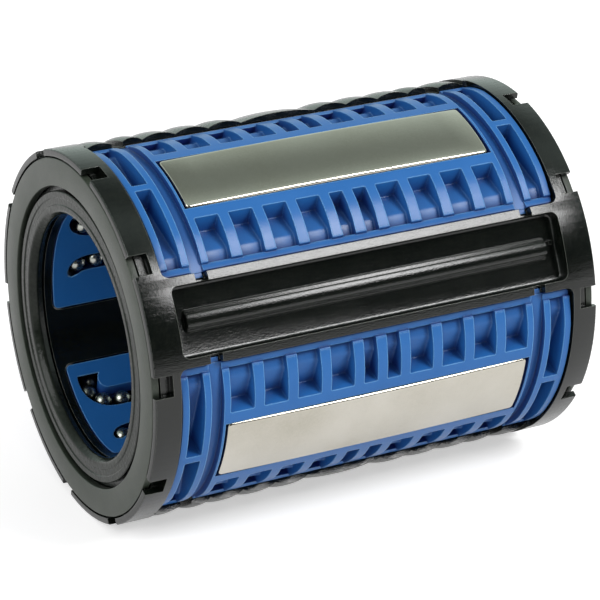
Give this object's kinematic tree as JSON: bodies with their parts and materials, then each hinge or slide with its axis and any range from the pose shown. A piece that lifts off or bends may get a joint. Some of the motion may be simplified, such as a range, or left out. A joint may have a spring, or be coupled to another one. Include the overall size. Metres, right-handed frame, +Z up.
{
  "type": "linear ball bearing",
  "caption": "Closed linear ball bearing: a slotted black sleeve with blue recirculating ball segments, steel load plates, end washers and shaft seals.",
  "frame": {"origin": "middle of the bearing on its axis", "axes": "+X along the bearing axis, with the nearer end in the picture at -X; +Z up"},
  "size_m": [0.08, 0.0618, 0.0618],
  "materials": {
    "sleeve_plastic": "moulded glass-filled black, satin",
    "washer_plastic": "moulded grey-black, satin",
    "seal_rubber": "smooth, oiled",
    "cage_plastic": "moulded blue, semi-gloss",
    "plate_steel": "ground and hardened",
    "ball_steel": "polished, oiled"
  },
  "bodies": {
    "housing": {"sleeve": "sleeve_plastic", "end_washer_left": "washer_plastic", "end_washer_right": "washer_plastic", "shaft_seal_left": "seal_rubber", "shaft_seal_right": "seal_rubber"},
    "segment_1": {"outer_cage_1": "cage_plastic", "ball_retainer_1": "cage_plastic", "load_plate_1": "plate_steel"},
    "load_row_1a": {"load_balls_1a": "ball_steel"},
    "return_row_1a": {"return_balls_1a": "ball_steel"},
    "end_turn_1a_left": {"turn_balls_1a_left": "ball_steel"},
    "end_turn_1a_right": {"turn_balls_1a_right": "ball_steel"},
    "load_row_1b": {"load_balls_1b": "ball_steel"},
    "return_row_1b": {"return_balls_1b": "ball_steel"},
    "end_turn_1b_left": {"turn_balls_1b_left": "ball_steel"},
    "end_turn_1b_right": {"turn_balls_1b_right": "ball_steel"},
    "segment_2": {"outer_cage_2": "cage_plastic", "ball_retainer_2": "cage_plastic", "load_plate_2": "plate_steel"},
    "load_row_2a": {"load_balls_2a": "ball_steel"},
    "return_row_2a": {"return_balls_2a": "ball_steel"},
    "end_turn_2a_left": {"turn_balls_2a_left": "ball_steel"},
    "end_turn_2a_right": {"turn_balls_2a_right": "ball_steel"},
    "load_row_2b": {"load_balls_2b": "ball_steel"},
    "return_row_2b": {"return_balls_2b": "ball_steel"},
    "end_turn_2b_left": {"turn_balls_2b_left": "ball_steel"},
    "end_turn_2b_right": {"turn_balls_2b_right": "ball_steel"},
    "segment_3": {"outer_cage_3": "cage_plastic", "ball_retainer_3": "cage_plastic", "load_plate_3": "plate_steel"},
    "load_row_3a": {"load_balls_3a": "ball_steel"},
    "return_row_3a": {"return_balls_3a": "ball_steel"},
    "end_turn_3a_left": {"turn_balls_3a_left": "ball_steel"},
    "end_turn_3a_right": {"turn_balls_3a_right": "ball_steel"},
    "load_row_3b": {"load_balls_3b": "ball_steel"},
    "return_row_3b": {"return_balls_3b": "ball_steel"},
    "end_turn_3b_left": {"turn_balls_3b_left": "ball_steel"},
    "end_turn_3b_right": {"turn_balls_3b_right": "ball_steel"},
    "segment_4": {"outer_cage_4": "cage_plastic", "ball_retainer_4": "cage_plastic", "load_plate_4": "plate_steel"},
    "load_row_4a": {"load_balls_4a": "ball_steel"},
    "return_row_4a": {"return_balls_4a": "ball_steel"},
    "end_turn_4a_left": {"turn_balls_4a_left": "ball_steel"},
    "end_turn_4a_right": {"turn_balls_4a_right": "ball_steel"},
    "load_row_4b": {"load_balls_4b": "ball_steel"},
    "return_row_4b": {"return_balls_4b": "ball_steel"},
    "end_turn_4b_left": {"turn_balls_4b_left": "ball_steel"},
    "end_turn_4b_right": {"turn_balls_4b_right": "ball_steel"}
  },
  "joints": [
    {"name": "rock_1", "type": "hinge", "parent": "housing", "child": "segment_1", "pos_m": [0, 0.0289, 0.01121], "axis": [0, 0.3616, -0.9323], "range_deg": [-0.5, 0.5]},
    {"name": "load_run_1a", "type": "slide", "parent": "segment_1", "child": "load_row_1a", "axis": [1, 0, 0], "range_m": [-0.0017, 0.0017]},
    {"name": "return_run_1a", "type": "slide", "parent": "segment_1", "child": "return_row_1a", "axis": [1, 0, 0], "range_m": [-0.0017, 0.0017]},
    {"name": "turn_1a_left", "type": "hinge", "parent": "segment_1", "child": "end_turn_1a_left", "pos_m": [-0.02893, 0.02282, 0.00122], "axis": [0, 0.8675, 0.4974], "range_deg": [-30, 30]},
    {"name": "turn_1a_right", "type": "hinge", "parent": "segment_1", "child": "end_turn_1a_right", "pos_m": [0.02893, 0.02282, 0.00122], "axis": [0, 0.8675, 0.4974], "range_deg": [-30, 30]},
    {"name": "load_run_1b", "type": "slide", "parent": "segment_1", "child": "load_row_1b", "axis": [1, 0, 0], "range_m": [-0.0017, 0.0017]},
    {"name": "return_run_1b", "type": "slide", "parent": "segment_1", "child": "return_row_1b", "axis": [1, 0, 0], "range_m": [-0.0017, 0.0017]},
    {"name": "turn_1b_left", "type": "hinge", "parent": "segment_1", "child": "end_turn_1b_left", "pos_m": [-0.02893, 0.01768, 0.01449], "axis": [0, -0.976, -0.2176], "range_deg": [-30, 30]},
    {"name": "turn_1b_right", "type": "hinge", "parent": "segment_1", "child": "end_turn_1b_right", "pos_m": [0.02893, 0.01768, 0.01449], "axis": [0, -0.976, -0.2176], "range_deg": [-30, 30]},
    {"name": "rock_2", "type": "hinge", "parent": "housing", "child": "segment_2", "pos_m": [0, -0.01121, 0.0289], "axis": [0, 0.9323, 0.3616], "range_deg": [-0.5, 0.5]},
    {"name": "load_run_2a", "type": "slide", "parent": "segment_2", "child": "load_row_2a", "axis": [1, 0, 0], "range_m": [-0.0017, 0.0017]},
    {"name": "return_run_2a", "type": "slide", "parent": "segment_2", "child": "return_row_2a", "axis": [1, 0, 0], "range_m": [-0.0017, 0.0017]},
    {"name": "turn_2a_left", "type": "hinge", "parent": "segment_2", "child": "end_turn_2a_left", "pos_m": [-0.02893, -0.00122, 0.02282], "axis": [0, -0.4974, 0.8675], "range_deg": [-30, 30]},
    {"name": "turn_2a_right", "type": "hinge", "parent": "segment_2", "child": "end_turn_2a_right", "pos_m": [0.02893, -0.00122, 0.02282], "axis": [0, -0.4974, 0.8675], "range_deg": [-30, 30]},
    {"name": "load_run_2b", "type": "slide", "parent": "segment_2", "child": "load_row_2b", "axis": [1, 0, 0], "range_m": [-0.0017, 0.0017]},
    {"name": "return_run_2b", "type": "slide", "parent": "segment_2", "child": "return_row_2b", "axis": [1, 0, 0], "range_m": [-0.0017, 0.0017]},
    {"name": "turn_2b_left", "type": "hinge", "parent": "segment_2", "child": "end_turn_2b_left", "pos_m": [-0.02893, -0.01449, 0.01768], "axis": [0, 0.2176, -0.976], "range_deg": [-30, 30]},
    {"name": "turn_2b_right", "type": "hinge", "parent": "segment_2", "child": "end_turn_2b_right", "pos_m": [0.02893, -0.01449, 0.01768], "axis": [0, 0.2176, -0.976], "range_deg": [-30, 30]},
    {"name": "rock_3", "type": "hinge", "parent": "housing", "child": "segment_3", "pos_m": [0, -0.0289, -0.01121], "axis": [0, -0.3616, 0.9323], "range_deg": [-0.5, 0.5]},
    {"name": "load_run_3a", "type": "slide", "parent": "segment_3", "child": "load_row_3a", "axis": [1, 0, 0], "range_m": [-0.0017, 0.0017]},
    {"name": "return_run_3a", "type": "slide", "parent": "segment_3", "child": "return_row_3a", "axis": [1, 0, 0], "range_m": [-0.0017, 0.0017]},
    {"name": "turn_3a_left", "type": "hinge", "parent": "segment_3", "child": "end_turn_3a_left", "pos_m": [-0.02893, -0.02282, -0.00122], "axis": [0, -0.8675, -0.4974], "range_deg": [-30, 30]},
    {"name": "turn_3a_right", "type": "hinge", "parent": "segment_3", "child": "end_turn_3a_right", "pos_m": [0.02893, -0.02282, -0.00122], "axis": [0, -0.8675, -0.4974], "range_deg": [-30, 30]},
    {"name": "load_run_3b", "type": "slide", "parent": "segment_3", "child": "load_row_3b", "axis": [1, 0, 0], "range_m": [-0.0017, 0.0017]},
    {"name": "return_run_3b", "type": "slide", "parent": "segment_3", "child": "return_row_3b", "axis": [1, 0, 0], "range_m": [-0.0017, 0.0017]},
    {"name": "turn_3b_left", "type": "hinge", "parent": "segment_3", "child": "end_turn_3b_left", "pos_m": [-0.02893, -0.01768, -0.01449], "axis": [0, 0.976, 0.2176], "range_deg": [-30, 30]},
    {"name": "turn_3b_right", "type": "hinge", "parent": "segment_3", "child": "end_turn_3b_right", "pos_m": [0.02893, -0.01768, -0.01449], "axis": [0, 0.976, 0.2176], "range_deg": [-30, 30]},
    {"name": "rock_4", "type": "hinge", "parent": "housing", "child": "segment_4", "pos_m": [0, 0.01121, -0.0289], "axis": [0, -0.9323, -0.3616], "range_deg": [-0.5, 0.5]},
    {"name": "load_run_4a", "type": "slide", "parent": "segment_4", "child": "load_row_4a", "axis": [1, 0, 0], "range_m": [-0.0017, 0.0017]},
    {"name": "return_run_4a", "type": "slide", "parent": "segment_4", "child": "return_row_4a", "axis": [1, 0, 0], "range_m": [-0.0017, 0.0017]},
    {"name": "turn_4a_left", "type": "hinge", "parent": "segment_4", "child": "end_turn_4a_left", "pos_m": [-0.02893, 0.00122, -0.02282], "axis": [0, 0.4974, -0.8675], "range_deg": [-30, 30]},
    {"name": "turn_4a_right", "type": "hinge", "parent": "segment_4", "child": "end_turn_4a_right", "pos_m": [0.02893, 0.00122, -0.02282], "axis": [0, 0.4974, -0.8675], "range_deg": [-30, 30]},
    {"name": "load_run_4b", "type": "slide", "parent": "segment_4", "child": "load_row_4b", "axis": [1, 0, 0], "range_m": [-0.0017, 0.0017]},
    {"name": "return_run_4b", "type": "slide", "parent": "segment_4", "child": "return_row_4b", "axis": [1, 0, 0], "range_m": [-0.0017, 0.0017]},
    {"name": "turn_4b_left", "type": "hinge", "parent": "segment_4", "child": "end_turn_4b_left", "pos_m": [-0.02893, 0.01449, -0.01768], "axis": [0, -0.2176, 0.976], "range_deg": [-30, 30]},
    {"name": "turn_4b_right", "type": "hinge", "parent": "segment_4", "child": "end_turn_4b_right", "pos_m": [0.02893, 0.01449, -0.01768], "axis": [0, -0.2176, 0.976], "range_deg": [-30, 30]}
  ],
  "couplings": [
    {"joint": "return_run_1a", "follows": "load_run_1a", "ratio": -1},
    {"joint": "turn_1a_left", "follows": "load_run_1a", "rad_per_m": 307.67},
    {"joint": "turn_1a_right", "follows": "load_run_1a", "rad_per_m": 307.67},
    {"joint": "return_run_1b", "follows": "load_run_1b", "ratio": -1},
    {"joint": "turn_1b_left", "follows": "load_run_1b", "rad_per_m": 307.67},
    {"joint": "turn_1b_right", "follows": "load_run_1b", "rad_per_m": 307.67},
    {"joint": "return_run_2a", "follows": "load_run_2a", "ratio": -1},
    {"joint": "turn_2a_left", "follows": "load_run_2a", "rad_per_m": 307.67},
    {"joint": "turn_2a_right", "follows": "load_run_2a", "rad_per_m": 307.67},
    {"joint": "return_run_2b", "follows": "load_run_2b", "ratio": -1},
    {"joint": "turn_2b_left", "follows": "load_run_2b", "rad_per_m": 307.67},
    {"joint": "turn_2b_right", "follows": "load_run_2b", "rad_per_m": 307.67},
    {"joint": "return_run_3a", "follows": "load_run_3a", "ratio": -1},
    {"joint": "turn_3a_left", "follows": "load_run_3a", "rad_per_m": 307.67},
    {"joint": "turn_3a_right", "follows": "load_run_3a", "rad_per_m": 307.67},
    {"joint": "return_run_3b", "follows": "load_run_3b", "ratio": -1},
    {"joint": "turn_3b_left", "follows": "load_run_3b", "rad_per_m": 307.67},
    {"joint": "turn_3b_right", "follows": "load_run_3b", "rad_per_m": 307.67},
    {"joint": "return_run_4a", "follows": "load_run_4a", "ratio": -1},
    {"joint": "turn_4a_left", "follows": "load_run_4a", "rad_per_m": 307.67},
    {"joint": "turn_4a_right", "follows": "load_run_4a", "rad_per_m": 307.67},
    {"joint": "return_run_4b", "follows": "load_run_4b", "ratio": -1},
    {"joint": "turn_4b_left", "follows": "load_run_4b", "rad_per_m": 307.67},
    {"joint": "turn_4b_right", "follows": "load_run_4b", "rad_per_m": 307.67}
  ]
}
